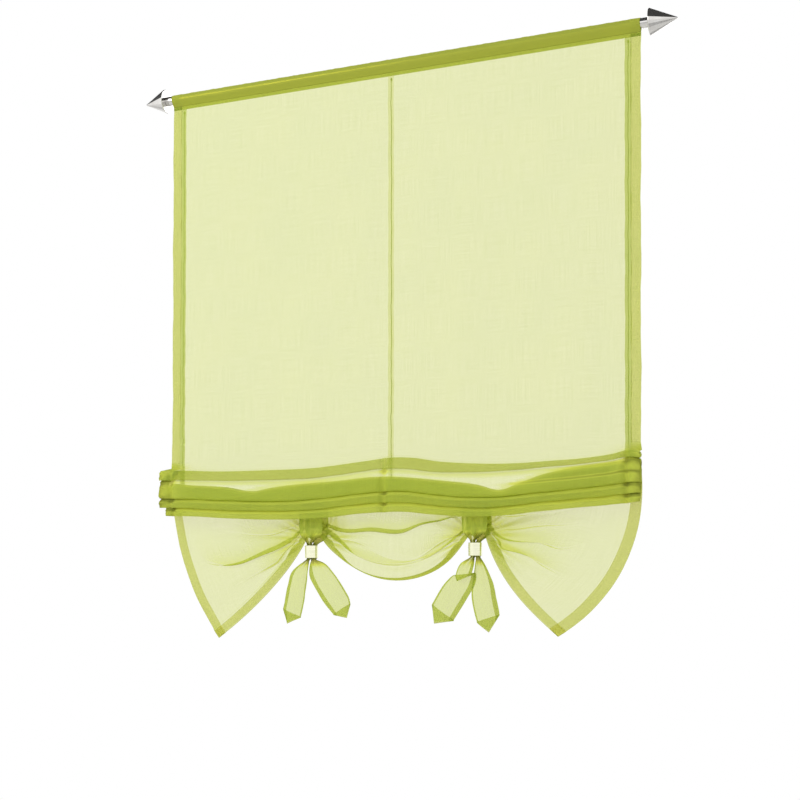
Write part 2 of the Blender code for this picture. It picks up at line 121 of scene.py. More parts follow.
def between(tree, share, a, b):
    """A colour between two colours."""
    made = node(tree, "ShaderNodeMix", {"data_type": "RGBA"}, i0=share, i6=a, i7=b)
    return made.outputs[2]


def spread_over(tree, value, low, high, to_low=0.0, to_high=1.0):
    """A value's range stretched to another, and held at its ends."""
    made = node(tree, "ShaderNodeMapRange", None, i0=value, i1=low, i2=high, i3=to_low, i4=to_high)
    return made.outputs[0]


def stretched_by(tree, place, stretch):
    """Places scaled along each axis by its own amount."""
    made = node(tree, "ShaderNodeVectorMath", {"operation": "MULTIPLY"}, i0=place, i1=stretch)
    return made.outputs[0]


def noise(tree, place, scale, detail):
    """A soft noise over places."""
    made = node(tree, "ShaderNodeTexNoise", None, Vector=place, Scale=scale, Detail=detail)
    return made.outputs[0]


def relief(tree, height, lift):
    """Normals bent by a fine relief."""
    made = node(tree, "ShaderNodeBump", None, Strength=lift, Distance=RELIEF_DEPTH, Height=height)
    return made.outputs[0]


def blended(tree, share, a, b):
    """A mix of two shaders."""
    made = node(tree, "ShaderNodeMixShader", None, i0=share, i1=a.outputs[0], i2=b.outputs[0])
    return made.outputs[0]


def surface(name, roughness, metallic=0.0):
    """A material with its tree and its Principled shader."""
    made = bpy.data.materials.new(name)
    made.use_nodes = True
    tree = made.node_tree
    shader = tree.nodes["Principled BSDF"]
    shader.inputs["Roughness"].default_value = roughness
    shader.inputs["Metallic"].default_value = metallic
    return made, tree, shader


def dress(cad_name, made):
    """Gives a node of the frame its finish."""
    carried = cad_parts[cad_name]
    for slot in carried.material_slots:
        slot.material = made
    if not carried.material_slots:
        carried.data.materials.append(made)


metal_grain, grain_in, grain_out = effect(
    "metal_grain",
    [("Light", "Color"), ("Shade", "Color"), ("Grain", "Vector"), ("Polish", "Float")],
    [("Colour", "Color"), ("Roughness", "Float"), ("Height", "Float")],
)
metal_place = node(metal_grain, "ShaderNodeTexCoord").outputs["Object"]
grain_place = stretched_by(metal_grain, metal_place, grain_in.outputs["Grain"])
fine = noise(metal_grain, grain_place, 1.0, 3.0)
cloudy = noise(metal_grain, metal_place, CLOUD_SCALE, 4.0)
fine_part = times(metal_grain, fine, FINE_SHARE)
cloudy_part = times(metal_grain, cloudy, 1 - FINE_SHARE)
worn = plus(metal_grain, fine_part, cloudy_part)
bare_share = spread_over(metal_grain, worn, 0.35, 0.65)
duller = spread_over(metal_grain, worn, 0.3, 0.7, 0.08, -0.05)
metal_tone = between(metal_grain, bare_share, grain_in.outputs["Shade"], grain_in.outputs["Light"])
rough = plus(metal_grain, grain_in.outputs["Polish"], duller)
metal_grain.links.new(metal_tone, grain_out.inputs["Colour"])
metal_grain.links.new(rough, grain_out.inputs["Roughness"])
metal_grain.links.new(fine, grain_out.inputs["Height"])


def metal(name, light, shade, grain, polish, lift):
    """A metal finish: its two tones, the way its grain runs, its polish and its relief."""
    made, tree, shader = surface(name, polish, 1.0)
    grained = node(tree, "ShaderNodeGroup", {"node_tree": metal_grain})
    grained.inputs["Light"].default_value = (*light, 1.0)
    grained.inputs["Shade"].default_value = (*shade, 1.0)
    grained.inputs["Grain"].default_value = grain
    grained.inputs["Polish"].default_value = polish
    tree.links.new(grained.outputs["Colour"], shader.inputs["Base Color"])
    tree.links.new(grained.outputs["Roughness"], shader.inputs["Roughness"])
    tree.links.new(relief(tree, grained.outputs["Height"], lift), shader.inputs["Normal"])
    return made


drawn_nickel = metal("polished_nickel_rod", NICKEL, NICKEL_SHADE, ROD_GRAIN, ROD_POLISH, METAL_LIFT)
turned_nickel = metal(
    "polished_nickel_turned", NICKEL, NICKEL_SHADE, LATHE_GRAIN, TURNED_POLISH, METAL_LIFT
)
dress("rod", drawn_nickel)
dress("finial_left", turned_nickel)
dress("finial_right", turned_nickel)


# Curtain panel. One sheet of sheer polyester voile, dyed lime green. Its sides and lower edge are
# turned over twice and sewn, its top is sewn into a pocket for the rod, and the tapes behind it
# draw its lower part up into four nested folds, with the gathered hem hanging below them.
ROD_RADIUS = 0.0095
PANEL_WIDTH = 1.000
HALF_WIDTH = PANEL_WIDTH / 2
HEM = 0.020
POCKET_SLACK = 0.0008
POCKET_SEAM = 0.016
POCKET_TURN_IN = 0.006
STACK_TOP = 0.792
FOLD_BOTTOMS = (0.021, 0.065, 0.086, 0.104)
FOLD_ROOT_STEPS = (0.0, 0.0, 0.005, 0.010)
FOLD_DEPTH = 0.042
FOLD_START = 0.010
FOLD_SHOULDER = 0.004
FOLD_ROUNDING = 0.9
ROOT_BEND = 0.003
LEFT_DRAW_IN = 0.006
RIGHT_DRAW_IN = 0.009
TAPE_EDGE = 0.4757
# The stack's lines across the width, as (share of the width, drop below its top)
STACK_TOP_LINE = (
    (0.0, 0.0095), (0.04, 0.011), (0.10, 0.0145), (0.22, 0.017), (0.335, 0.0165), (0.446, 0.0075),
    (0.50, 0.003), (0.55, 0.0055), (0.60, 0.014), (0.655, 0.0195), (0.756, 0.0235), (0.82, 0.0215),
    (0.886, 0.019), (0.95, 0.0125), (0.975, 0.0075), (1.0, 0.012),
)
STACK_FOOT_LINE = (
    (0.0, -0.003), (0.06, -0.001), (0.18, 0.0075), (0.30, 0.012), (0.37, 0.010), (0.446, 0.004),
    (0.50, 0.002), (0.55, 0.003), (0.60, 0.009), (0.72, 0.0165), (0.82, 0.008), (0.886, 0.0035),
    (0.95, -0.001), (1.0, -0.005),
)
ROOT_LINE = (
    (0.0, 0.033), (0.04, 0.037), (0.13, 0.044), (0.20, 0.054), (0.235, 0.049), (0.28, 0.045),
    (0.385, 0.040), (0.475, 0.035), (0.52, 0.037), (0.60, 0.046), (0.68, 0.057), (0.73, 0.068),
    (0.76, 0.059), (0.81, 0.043), (0.86, 0.034), (0.93, 0.027), (1.0, 0.021),
)
LEFT_TIE_X, RIGHT_TIE_X = -0.163, 0.178
LEFT_TIE_SHARE, RIGHT_TIE_SHARE = 0.315, 0.72
TIE_DEPTH = STACK_TOP + 0.152
GATHER_WIDTH = 0.030
GATHER_SHARE = 0.04
# Curves of the gathered hem, as (x, drop below the stack's top)
LEFT_SIDE = ((-0.476, 0.189), (-0.434, 0.273))
RIGHT_SIDE = ((0.506, 0.185), (0.428, 0.290))
LEFT_TIP = (-0.3765, 0.353)
RIGHT_TIP = (0.334, 0.344)
LEFT_HEM = ((-0.3226, 0.3167), (-0.2233, 0.2363))
RIGHT_HEM = ((0.279, 0.296), (0.220, 0.244))
SWAG_HEM = ((-0.072, 0.260), (0.078, 0.273))
# The folds that run out from the ties: (share of the width, share of the way down, overlap)
DRAPES = (
    ((0.0, 0.06, 0.0), (0.14, 0.30, 0.0), (0.17, 0.36, 0.002), (0.21, 0.45, 0.006),
     (0.27, 0.60, 0.010), (0.36, 0.66, 0.016), (0.45, 0.51, 0.018), (0.54, 0.49, 0.018),
     (0.59, 0.44, 0.014), (0.65, 0.45, 0.012), (0.74, 0.50, 0.006), (0.785, 0.37, 0.004),
     (0.83, 0.28, 0.002), (0.87, 0.20, 0.0), (1.0, 0.05, 0.0)),
    ((0.0, 0.12, 0.0), (0.03, 0.31, 0.0), (0.06, 0.45, 0.006), (0.10, 0.54, 0.012),
     (0.14, 0.60, 0.016), (0.215, 0.66, 0.021), (0.27, 0.76, 0.018), (0.36, 0.80, 0.010),
     (0.41, 0.71, 0.003), (0.52, 0.78, 0.0), (0.57, 0.80, 0.002), (0.63, 0.74, 0.007),
     (0.69, 0.76, 0.010), (0.76, 0.66, 0.008), (0.81, 0.45, 0.004), (0.855, 0.36, 0.002),
     (0.92, 0.27, 0.0), (1.0, 0.16, 0.0)),
    ((0.0, 0.70, 0.0), (0.07, 0.74, 0.0), (0.12, 0.76, 0.001), (0.17, 0.79, 0.002),
     (0.21, 0.83, 0.007), (0.27, 0.91, 0.009), (0.34, 0.90, 0.020), (0.38, 0.90, 0.018),
     (0.42, 0.90, 0.009), (0.58, 0.90, 0.006), (0.64, 0.88, 0.013), (0.70, 0.86, 0.018),
     (0.77, 0.76, 0.013), (0.83, 0.57, 0.009), (0.87, 0.53, 0.004), (0.90, 0.45, 0.002),
     (0.93, 0.36, 0.0), (1.0, 0.25, 0.0)),
    ((0.0, 0.93, 0.0), (0.70, 0.94, 0.0), (0.74, 0.90, 0.008), (0.77, 0.88, 0.012),
     (0.82, 0.73, 0.010), (0.87, 0.70, 0.006), (0.92, 0.67, 0.002), (0.96, 0.62, 0.0),
     (1.0, 0.60, 0.0)),
)
DRAPE_SWELL = 0.0060
DRAPE_STEP = 0.0010
DRAPE_SOFTNESS = 0.014
DRAPE_FULLNESS = 0.85
DRAPE_SPACING = 0.025
BUNCHING = 0.11
PLEAT_SWELL = 0.0050
SWAG_CURL = 0.018
DRAPE_SHADE_REACH = 0.024
FLAP_BILLOW = 0.004
HEM_LAYER = 0.0004
HEM_THINNING = 0.35
WAVE_SWELL = 0.0024
PUCKER_SWELL = 0.0010
TAPE_PUCKER_SWELL = 0.0014
FOLD_UNEVENNESS = 0.05
FOLD_HELD_AT_TAPE = 0.20
FOLD_EDGE_WOBBLE = 0.0008
FIRST_FOLD_RISE = 0.007
FIRST_ROOT_RISE = 0.005
LAST_FOLD_SHORTER = 0.016
PLEATS_REACH = 0.14
SIDE_WOBBLE = 0.0012
CRUMPLE = 0.0018
TUCK_DEPTH = 0.002
PINCH_REACH = 0.007
SIDE_SHADE_REACH = 0.022
POCKET_ROWS = 22
MAIN_COLUMNS = 220
FLAT_ROWS = 60
FOLD_CONTROLS = 8
ROWS_TO_A_FOLD_SPAN = 5
ROWS_TO_A_DRAPE_SPAN = 8


def mix(a, b, share):
    return a + (b - a) * share


def ease(value, low, high):
    """0 below low and 1 above high, with a soft change between them."""
    share = np.clip((value - low) / (high - low), 0, 1)
    return share * share * (3 - 2 * share)


def uneven(where, seed):
    """A soft variation that hardly repeats, from -1 to 1."""
    waves = np.sin(where + 1.7 * seed) + 0.6 * np.sin(2.3 * where + 4.1 * seed)
    return (waves + 0.35 * np.sin(5.1 * where + 2.9 * seed)) / 1.95


def bezier(points, share):
    """The cubic curve of four points, read at an array of shares."""
    rest = 1 - share
    weights = (rest**3, 3 * share * rest**2, 3 * share**2 * rest, share**3)
    return sum(w[..., None] * np.asarray(p, float) for w, p in zip(weights, points))


def through(points, count):
    """A smooth path through points stacked on the first axis, with count rows to each span."""
    points = np.asarray(points, float)
    padded = np.concatenate([points[:1], points, points[-1:]])
    share = (np.arange(count) / count).reshape(-1, *[1] * (points.ndim - 1))
    spans = []
    for k in range(len(points) - 1):
        a, b, c, d = padded[k : k + 4]
        bend = 2 * a - 5 * b + 4 * c - d + share * (3 * (b - c) + d - a)
        spans.append(b + 0.5 * share * (c - a + share * bend))
    return np.concatenate([*spans, points[-1:]])


def steady(values, count):
    """A smooth path through values stacked on the first axis that never swings past them."""
    values = np.asarray(values, float)
    steps = np.diff(values, axis=0)
    pair = steps[:-1] * steps[1:]
    total = steps[:-1] + steps[1:]
    inner = np.where(pair > 0, 2 * pair / np.where(total == 0, 1, total), 0)
    slopes = np.concatenate([steps[:1], inner, steps[-1:]])
    t = (np.arange(count) / count).reshape(-1, *[1] * (values.ndim - 1))
    spans = []
    for k in range(len(steps)):
        rise = (3 * t**2 - 2 * t**3) * steps[k]
        leaving, arriving = (t**3 - 2 * t**2 + t) * slopes[k], (t**3 - t**2) * slopes[k + 1]
        spans.append(values[k] + rise + leaving + arriving)
    return np.concatenate([*spans, values[-1:]])


def curve_at(points, where):
    """A smooth curve through given (place, value) points, read at where."""
    places, values = np.array(points, float).T
    slopes = np.gradient(values, places)
    k = np.clip(np.searchsorted(places, where) - 1, 0, len(places) - 2)
    step = places[k + 1] - places[k]
    t = (where - places[k]) / step
    rise = (2 * t**3 - 3 * t**2 + 1) * values[k] + (3 * t**2 - 2 * t**3) * values[k + 1]
    return rise + step * ((t**3 - 2 * t**2 + t) * slopes[k] + (t**3 - t**2) * slopes[k + 1])


def drawn_in(share, held):
    """How far along the rod a column lies, as the tapes draw the cloth in."""
    flat = (share - 0.5) * PANEL_WIDTH
    side = np.where(flat < 0, LEFT_DRAW_IN, RIGHT_DRAW_IN)
    return flat * (1 - side / HALF_WIDTH * held)


def near_tape(share, reach):
    """1 on a tape, falling away over reach to both sides of it."""
    flat = (share - 0.5) * PANEL_WIDTH
    nearest = np.min([np.abs(flat - x) for x in (-TAPE_EDGE, 0, TAPE_EDGE)], axis=0)
    return np.exp(-((nearest / reach) ** 2))


def near_side(share, reach):
    """1 on the panel's sides, falling away over reach."""
    return np.exp(-((HALF_WIDTH - np.abs(share - 0.5) * PANEL_WIDTH) / reach))


def hang(share, depth):
    """How far the flat cloth stands out: soft waves, and puckers under the pocket's seam."""
    last = STACK_TOP - FOLD_START
    soft = ease(depth, 0.02, 0.25) * ease(last - depth, 0, 0.10)
    waves = WAVE_SWELL * uneven(share * 24 + depth * 1.6, 1) * soft
    puckers = PUCKER_SWELL * uneven(share * 330, 2) * np.exp(-((depth - POCKET_SEAM) / 0.03))
    at_tapes = near_tape(share, 0.016) * ease(depth, 0.40, 0.74)
    gathers = TAPE_PUCKER_SWELL * uneven(depth * 150, 3) * at_tapes
    return waves + puckers * ease(depth, POCKET_SEAM, 0.03) + gathers * ease(last - depth, 0, 0.03)


def stack_drop(share, drop):
    """How far below the rod a line of the stack hangs, as it sags between the tapes."""
    top, foot = curve_at(STACK_TOP_LINE, share), curve_at(STACK_FOOT_LINE, share)
    return STACK_TOP + drop + mix(top, foot, drop / FOLD_BOTTOMS[-1])


def stack_rows(share):
    """The four folds, as rows of (y, depth) over all columns."""
    held = FOLD_HELD_AT_TAPE * near_tape(share, PINCH_REACH)
    depth = FOLD_DEPTH * (1 + FOLD_UNEVENNESS * uneven(share * 9, 4) - held)
    shallower = FIRST_FOLD_RISE * ease(share, 0.55, 0.80)
    root_line = STACK_TOP + curve_at(ROOT_LINE, share)
    flat = np.zeros_like(share)
    start, shoulder = stack_drop(share, -FOLD_START), stack_drop(share, 0.0)
    rows = [(flat, start)]
    for k, (drop, root_step) in enumerate(zip(FOLD_BOTTOMS, FOLD_ROOT_STEPS)):
        bottom = stack_drop(share, drop) + FOLD_EDGE_WOBBLE * uneven(share * 14, 5 + k)
        root = root_line + root_step
        if k == 0:
            bottom, root = bottom - shallower, stack_drop(share, -FIRST_ROOT_RISE)
        rows.append((-depth / 2, (start + shoulder) / 2))
        rows.append((-depth * FOLD_ROUNDING, shoulder))
        rows.append((-depth, (shoulder + bottom) / 2))
        rows.append((-depth * FOLD_ROUNDING, bottom))
        rows.append((-depth / 2, (bottom + root) / 2))
        rows.append((flat - ROOT_BEND / 2, root))
        rows.append((flat, root + ROOT_BEND / 2))
        rows.append((flat - ROOT_BEND / 2, root + ROOT_BEND))
        start, shoulder = root + ROOT_BEND, bottom + FOLD_SHOULDER
    return np.array([np.stack(pair, axis=-1) for pair in rows])


def stack_foot(share):
    """How far below the rod the hanging hem starts, behind the folds."""
    return STACK_TOP + curve_at(ROOT_LINE, share) + FOLD_ROOT_STEPS[-1] + ROOT_BEND


def below_stack(point):
    return point[0], -STACK_TOP - point[1]


def hem_pieces():
    """The hem's parts: (first share, last share, curve, bunching, waves of bunching)."""
    half = GATHER_SHARE / 2
    left_a, left_b = LEFT_TIE_X - GATHER_WIDTH / 2, LEFT_TIE_X + GATHER_WIDTH / 2
    right_a, right_b = RIGHT_TIE_X - GATHER_WIDTH / 2, RIGHT_TIE_X + GATHER_WIDTH / 2
    a, b, c, d = [(x, -TIE_DEPTH) for x in (left_a, left_b, right_a, right_b)]
    left_from, left_to = LEFT_TIE_SHARE - half, LEFT_TIE_SHARE + half
    right_from, right_to = RIGHT_TIE_SHARE - half, RIGHT_TIE_SHARE + half
    flap_left = (below_stack(LEFT_TIP), *map(below_stack, LEFT_HEM), a)
    flap_right = (d, *map(below_stack, RIGHT_HEM[::-1]), below_stack(RIGHT_TIP))
    return (
        (0.0, left_from, flap_left, BUNCHING, 1),
        (left_from, left_to, (a, a, b, b), 0, 1),
        (left_to, right_from, (b, *map(below_stack, SWAG_HEM), c), -BUNCHING, 2),
        (right_from, right_to, (c, c, d, d), 0, 1),
        (right_to, 1.0, flap_right, -BUNCHING, 1),
    )


def hem_line(share):
    """The hem's lower edge over all columns, and each column's place along it once bunched."""
    line, place = np.zeros((len(share), 2)), np.array(share)
    for first, last, points, bunching, waves in hem_pieces():
        inside = (share >= first) & (share <= last)
        way = (share[inside] - first) / (last - first)
        way = way + bunching * np.sin(np.pi * waves * way)
        line[inside] = bezier(points, way)
        place[inside] = mix(first, last, way)
    return line, place


def along(grid):
    """How far each point of a grid lies down its column, in metres."""
    steps = np.linalg.norm(np.diff(grid, axis=0), axis=-1)
    return np.concatenate([np.zeros((1, grid.shape[1])), np.cumsum(steps, axis=0)])


def laid_flat(grid, across):
    """Where each point of a grid lies on its flat cloth: across it, and down its column."""
    return np.stack([np.broadcast_to(across, grid.shape[:2]), along(grid)], axis=-1)


def valance_rows(share):
    """The cloth under the stack, with the folds that run out from the ties."""
    top = np.stack([drawn_in(share, 1), -stack_foot(share)], axis=-1)
    hem, seen = hem_line(share)
    length = np.linalg.norm(hem - top, axis=-1)
    hem_share = np.minimum(HEM / length, 0.14)
    curled = 1 - ease(np.abs(share - 0.52), 0.05, 0.14)
    lean = np.full(len(share), -ROOT_BEND / 2)
    controls = [(np.zeros_like(share), lean), (np.full_like(share, 0.04), lean)]
    fullness = []
    for k, drape in enumerate(DRAPES):
        overlap = np.interp(seen, [d[0] for d in drape], [d[2] for d in drape])
        overlap = overlap * ease(share, 0.02, 0.10) * ease(1 - share, 0.03, 0.13)
        full = (overlap / (overlap + 0.004)) ** 2
        half = (overlap * DRAPE_FULLNESS * full - DRAPE_SOFTNESS * (1 - full) ** 2) / length / 2
        half = np.maximum(half, -0.4 * DRAPE_SPACING)
        lowest = 1 - hem_share - np.abs(half) - DRAPE_SPACING * (len(DRAPES) - k)
        middle = np.minimum(curve_at([d[:2] for d in drape], seen), lowest)
        controls.append((middle + half, lean - DRAPE_SWELL * full))
        controls.append((middle - half, lean + DRAPE_SWELL * 0.4 * full))
        lean = lean + DRAPE_STEP * full
        fullness.append(full)
    hem_at = len(controls)
    controls.append((1 - hem_share * (1 - 0.8 * curled), lean - 0.002))
    controls.append((np.ones_like(share), lean - 0.002 + SWAG_CURL * curled))
    down = steady([pair[0] for pair in controls], ROWS_TO_A_DRAPE_SPAN)
    y = through([pair[1] for pair in controls], ROWS_TO_A_DRAPE_SPAN)
    place = mix(top[None], hem[None], down[..., None])
    half = GATHER_SHARE / 2
    sides = (
        (0, LEFT_SIDE, LEFT_TIP, 1 - share / (LEFT_TIE_SHARE - half)),
        (-1, RIGHT_SIDE, RIGHT_TIP, 1 - (1 - share) / (1 - RIGHT_TIE_SHARE - half)),
    )
    for column, pulls, tip, reach in sides:
        edge = [top[column], *map(below_stack, (*pulls, tip))]
        bow = bezier(edge, down) - mix(np.array(edge[0]), np.array(edge[-1]), down[..., None])
        place += bow * np.maximum(reach, 0)[None, :, None]
    for tie_x in (LEFT_TIE_X, RIGHT_TIE_X):
        aside, up = place[..., 0] - tie_x, place[..., 1] + TIE_DEPTH
        away, angle = np.hypot(aside, up), np.arctan2(up, np.abs(aside))
        inside = ease(down, 0, 0.12) * ease(1 - down, 0, 0.1)
        fades = np.exp(-away / PLEATS_REACH) * ease(away, 0.01, 0.05) * inside
        pleats = np.sin(angle * 19 + tie_x * 40) + 0.5 * uneven(angle * 12, 6)
        y = y + PLEAT_SWELL * pleats * fades
    y = y - FLAP_BILLOW * np.sin(np.pi * down) * ease(length, 0.10, 0.25)
    rows = np.stack([place[..., 0], y, place[..., 1]], axis=-1)
    way, shade = along(rows), np.zeros_like(down)
    for k, full in enumerate(fullness):
        first, turn = (2 * k + 1) * ROWS_TO_A_DRAPE_SPAN, (2 * k + 2) * ROWS_TO_A_DRAPE_SPAN
        above = (way[turn] - way[first:turn]) / DRAPE_SHADE_REACH
        shade[first:turn] += full * np.exp(-above)
    return rows, hem_at * ROWS_TO_A_DRAPE_SPAN, shade


def normals_of(grid):
    """Unit normals over a grid of points, toward the room where the cloth hangs flat."""
    down, across = np.gradient(grid, axis=0), np.gradient(grid, axis=1)
    out = np.cross(down, across)
    return out / np.maximum(np.linalg.norm(out, axis=-1, keepdims=True), 1e-12)


def with_hem(cloth, count):
    """Adds a twice-turned hem at a cloth's last rows, behind it."""
    strip = {key: values[-count - 1 : -1] for key, values in cloth.items()}
    added = []
    for layer, order in ((2, -1), (1, 1)):
        turned = {key: values[::order].copy() for key, values in strip.items()}
        turned["at"] = turned["at"] - turned["out"] * HEM_LAYER * layer
        turned["density_and_shade"] = turned["density_and_shade"] - HEM_THINNING
        added.append(turned)
    return {key: np.concatenate([cloth[key], *[a[key] for a in added]]) for key in cloth}


def swapped(cloth):
    return {key: values.swapaxes(0, 1) for key, values in cloth.items()}


def flipped(cloth):
    return {key: values[::-1] for key, values in cloth.items()}


def hemmed_all_round(cloth, side_count, lower_count):
    """Hems at the lower edge and at both sides of a cloth."""
    cloth = with_hem(cloth, lower_count)
    cloth = with_hem(swapped(cloth), side_count)
    cloth = flipped(with_hem(flipped(cloth), side_count))
    return swapped(cloth)


def gathered(grid, flat):
    """How gathered the cloth is at each point of a grid, 0 where it lies flat to the front."""
    down, across = np.gradient(grid, axis=0), np.gradient(grid, axis=1)
    outline = np.abs(down[..., 0] * across[..., 2] - down[..., 2] * across[..., 0])
    cut = np.abs(np.gradient(flat[..., 1], axis=0) * np.gradient(flat[..., 0], axis=1))
    return np.clip(1 - outline / np.maximum(cut, 1e-9), 0, 1)


def sew(name, cloth, made):
    """Makes one sheet from a grid, with its length and width as a map, and its density and painted
    shade.
    """
    rows, columns = cloth["at"].shape[:2]
    mesh = bpy.data.meshes.new(name)
    corner = np.arange(rows * columns).reshape(rows, columns)
    faces = np.stack([corner[:-1, :-1], corner[1:, :-1], corner[1:, 1:], corner[:-1, 1:]], axis=-1)
    faces = faces.reshape(-1, 4)
    mesh.from_pydata(cloth["at"].reshape(-1, 3).tolist(), [], faces.tolist())
    layer = mesh.uv_layers.new(name="cloth_metres")
    layer.data.foreach_set("uv", cloth["flat"].reshape(-1, 2)[faces.ravel()].ravel())
    density_and_shade = mesh.attributes.new("density_and_shade", "FLOAT", "POINT")
    density_and_shade.data.foreach_set("value", cloth["density_and_shade"].ravel())
    mesh.shade_smooth()
    mesh.materials.append(made)
    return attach(placed(name, mesh), "root")


SLUB_COVER = 0.16
THREAD_COVER = 0.04
CLOUDS_TO_A_METRE = 9.0
# How far painted shade darkens the cloth toward black, where its density passes 1
LINE_DARKNESS = 0.55
BLACK = (0.0, 0.0, 0.0, 1.0)

voile_weave, weave_in, weave_out = effect(
    "voile_weave",
    [
        ("Cloth", "Color"), ("Deep", "Color"), ("Cover", "Float"),
        ("Crease Cover", "Float"), ("Thread", "Float"),
    ],
    [("Colour", "Color"), ("Cover", "Float"), ("Height", "Float")],
)
flat_cloth = node(voile_weave, "ShaderNodeUVMap", {"uv_map": "cloth_metres"}).outputs[0]
density_and_shade_value = node(voile_weave, "ShaderNodeAttribute", {"attribute_name": "density_and_shade"}).outputs["Fac"]
flat_parts = node(voile_weave, "ShaderNodeSeparateXYZ", None, Vector=flat_cloth)
warp, weft = [
    reckoned(voile_weave, "SINE", times(voile_weave, way, weave_in.outputs["Thread"]))
    for way in (flat_parts.outputs["X"], flat_parts.outputs["Y"])
]
threads = times(voile_weave, warp, weft)
slub_along, slub_across = [
    noise(voile_weave, stretched_by(voile_weave, flat_cloth, stretch), 1.0, 2.0)
    for stretch in ((900.0, 14.0, 1.0), (16.0, 900.0, 1.0))
]
slub = reckoned(voile_weave, "SUBTRACT", plus(voile_weave, slub_along, slub_across), 1.0)
clouds = noise(voile_weave, flat_cloth, CLOUDS_TO_A_METRE, 3.0)
clouds = spread_over(voile_weave, clouds, 0.35, 0.65, 0.0, 0.2)
dense_tone_share = plus(voile_weave, times(voile_weave, density_and_shade_value, 0.8), clouds)
cover = plus(voile_weave, weave_in.outputs["Cover"], times(voile_weave, slub, SLUB_COVER))
cover = plus(voile_weave, cover, times(voile_weave, threads, THREAD_COVER))
creased = times(voile_weave, density_and_shade_value, weave_in.outputs["Crease Cover"])
cover = spread_over(voile_weave, plus(voile_weave, cover, creased), 0.0, 1.0)
# The dye's colour, turned toward the dense tone by density and clouds; on the voile that tone is a
# painted glow
dye_and_glow_tone = between(voile_weave, dense_tone_share, weave_in.outputs["Cloth"], weave_in.outputs["Deep"])
# Past a density of 1 the colour is painted shade, mixed toward black
in_shade = between(voile_weave, LINE_DARKNESS, dye_and_glow_tone, BLACK)
dark_line = spread_over(voile_weave, density_and_shade_value, 1.0, 2.0)
seen_tone = between(voile_weave, dark_line, dye_and_glow_tone, in_shade)
voile_weave.links.new(seen_tone, weave_out.inputs["Colour"])
voile_weave.links.new(cover, weave_out.inputs["Cover"])
voile_weave.links.new(plus(voile_weave, threads, slub), weave_out.inputs["Height"])

LIME = (0.46, 0.62, 0.090)
# The dense tone is a painted glow: where the voile lies dense it turns this brighter, yellower
# green, which stands in for light shining through the stacked layers
LIME_PAINTED_GLOW = (0.68, 0.77, 0.100)
LIME_LIGHT = (0.84, 0.775, 0.18)
CLEAR_SHARE = 0.30
VOILE_THREAD = 0.0007
VOILE_LIFT = 0.25
CLOTH_SHEEN = 0.12


def woven(name, colour, deep, through_it, cover, crease_cover, thread, lift):
    """A woven finish: its two tones, the light it lets through, how much it covers, its thread."""
    made, tree, shader = surface(name, 0.72)
    weave = node(tree, "ShaderNodeGroup", {"node_tree": voile_weave})
    weave.inputs["Cloth"].default_value = (*colour, 1.0)
    weave.inputs["Deep"].default_value = (*deep, 1.0)
    weave.inputs["Cover"].default_value = cover
    weave.inputs["Crease Cover"].default_value = crease_cover
    weave.inputs["Thread"].default_value = 2 * math.pi / thread
    tree.links.new(weave.outputs["Colour"], shader.inputs["Base Color"])
    tree.links.new(weave.outputs["Cover"], shader.inputs["Alpha"])
    tree.links.new(relief(tree, weave.outputs["Height"], lift), shader.inputs["Normal"])
    shader.inputs["Sheen Weight"].default_value = CLOTH_SHEEN
    shader.inputs["Sheen Roughness"].default_value = 0.4
    shader.inputs["Sheen Tint"].default_value = (*colour, 1.0)
    shader.inputs["Specular IOR Level"].default_value = 0.15
    if through_it:
        clear = node(tree, "ShaderNodeBsdfTransparent", None, Color=(*through_it, 1.0))
        dyed = blended(tree, CLEAR_SHARE, shader, clear)
        tree.links.new(dyed, tree.nodes["Material Output"].inputs["Surface"])
    return made


voile = woven("lime_voile", LIME, LIME_PAINTED_GLOW, LIME_LIGHT, 0.43, 0.57, VOILE_THREAD, VOILE_LIFT)

hem_steps = np.array([0.0, 0.0006, 0.003, 0.010, 0.017, 0.0194])
shares = np.linspace(HEM, PANEL_WIDTH - HEM, MAIN_COLUMNS)
shares = np.concatenate([hem_steps, shares, (PANEL_WIDTH - hem_steps)[::-1]]) / PANEL_WIDTH
side_hem_columns = len(hem_steps) - 1

pocket_radius = ROD_RADIUS + POCKET_SLACK
tangent = math.asin(pocket_radius / POCKET_SEAM)
rucks = 0.08 * np.abs(uneven(shares * 120, 7))
turn_in = (
    (POCKET_SEAM - POCKET_TURN_IN, 0.0007), (POCKET_SEAM + POCKET_TURN_IN, 0.0007),
    (POCKET_SEAM + POCKET_TURN_IN + 0.0005, 0.0012), (POCKET_SEAM, 0.0013),
)
pocket_x = drawn_in(shares, 0)
pocket = []
for depth, behind in turn_in:
    row = (pocket_x, np.full_like(shares, behind), np.full_like(shares, -depth))
    pocket.append(np.stack(row, axis=-1))
for turn in np.linspace(math.pi + tangent, -tangent, POCKET_ROWS):
    radius = pocket_radius * (1 + rucks * max(0.0, math.sin(turn)))
    pocket.append(np.stack([pocket_x, -radius * math.cos(turn), radius * math.sin(turn)], axis=-1))

seam_line = (pocket_x, hang(shares, POCKET_SEAM), np.full_like(shares, -POCKET_SEAM))
seam_line = np.stack(seam_line, axis=-1)
pocket.extend([mix(pocket[-1], seam_line, part) for part in (0.30, 0.60, 0.85, 0.94)])

flat_depths = np.linspace(POCKET_SEAM + 0.008, STACK_TOP - FOLD_START, FLAT_ROWS)[:-1]
flat_rows = []
for depth in (POCKET_SEAM, POCKET_SEAM + 0.0012, POCKET_SEAM + 0.004, *flat_depths):
    held = depth / STACK_TOP
    sagging = ease(held, 0.70, 1.0) * curve_at(STACK_TOP_LINE, shares)
    wavy = SIDE_WOBBLE * uneven(np.full_like(shares, depth * 30), 8) * near_side(shares, 0.03)
    row = (drawn_in(shares, held) + wavy, hang(shares, depth), -depth - sagging)
    flat_rows.append(np.stack(row, axis=-1))

